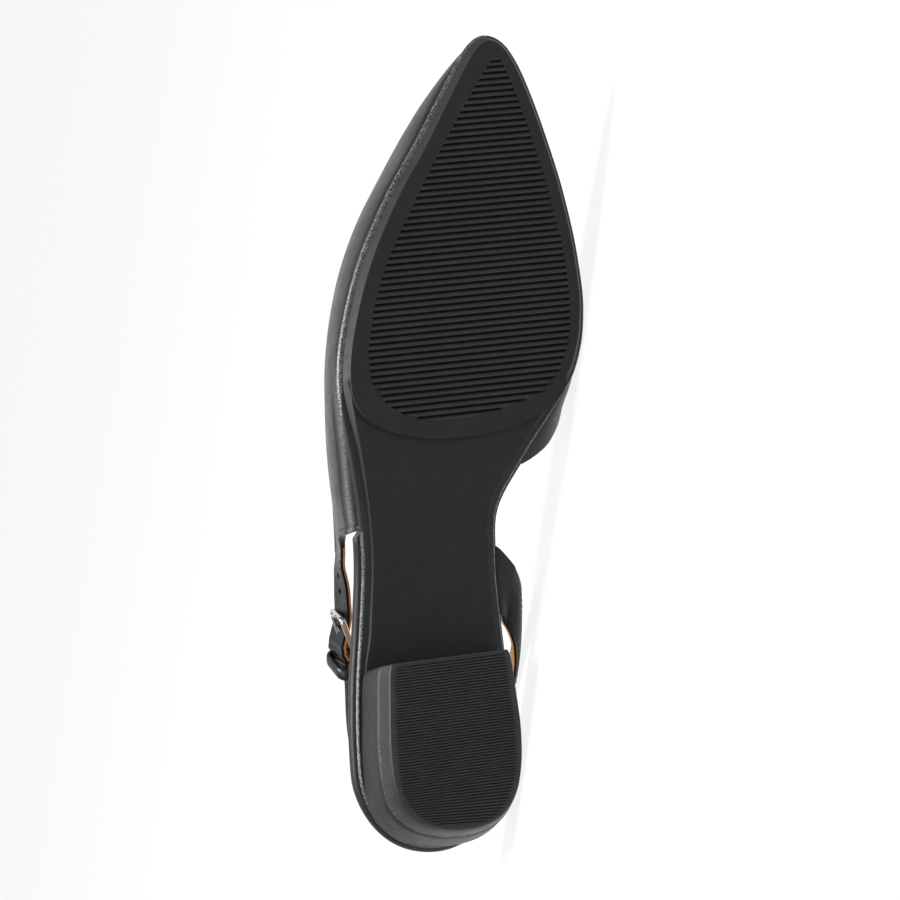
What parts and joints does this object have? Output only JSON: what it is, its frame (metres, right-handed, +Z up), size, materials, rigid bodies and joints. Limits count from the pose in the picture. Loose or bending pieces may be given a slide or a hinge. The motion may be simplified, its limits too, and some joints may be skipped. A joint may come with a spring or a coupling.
{
  "type": "low heel slingback",
  "caption": "Pointed low block heel slingback, a right shoe in black leather with a buckled heel strap, cut-away inner side and ribbed rubber sole, lying on its side.",
  "frame": {"origin": "middle of the shoe's footprint on the floor, with the shoe lying on its inner side", "axes": "+X towards the toe, +Y out of the foot opening and away from the sole, +Z up from the floor to the outer side with the buckle"},
  "size_m": [0.2686, 0.0718, 0.082],
  "materials": {
    "sole_rubber": "matte moulded black rubber",
    "heel_block": "satin black, fine grain",
    "lift_rubber": "satin black rubber, finely ribbed underneath",
    "insole_wrap": "black wrapped edge, tan sock",
    "upper_leather": "smooth black leather with a soft sheen, tan lining",
    "strap_leather": "smooth black leather, tan lining",
    "keeper_leather": "smooth black leather",
    "buckle_metal": "polished silver",
    "prong_metal": "polished silver"
  },
  "bodies": {
    "root": {"outsole": "sole_rubber", "heel_block": "heel_block", "top_lift": "lift_rubber", "insole": "insole_wrap", "upper": "upper_leather", "back_strap": "strap_leather", "strap_keeper": "keeper_leather", "buckle_frame": "buckle_metal", "buckle_prong": "prong_metal"}
  },
  "joints": []
}
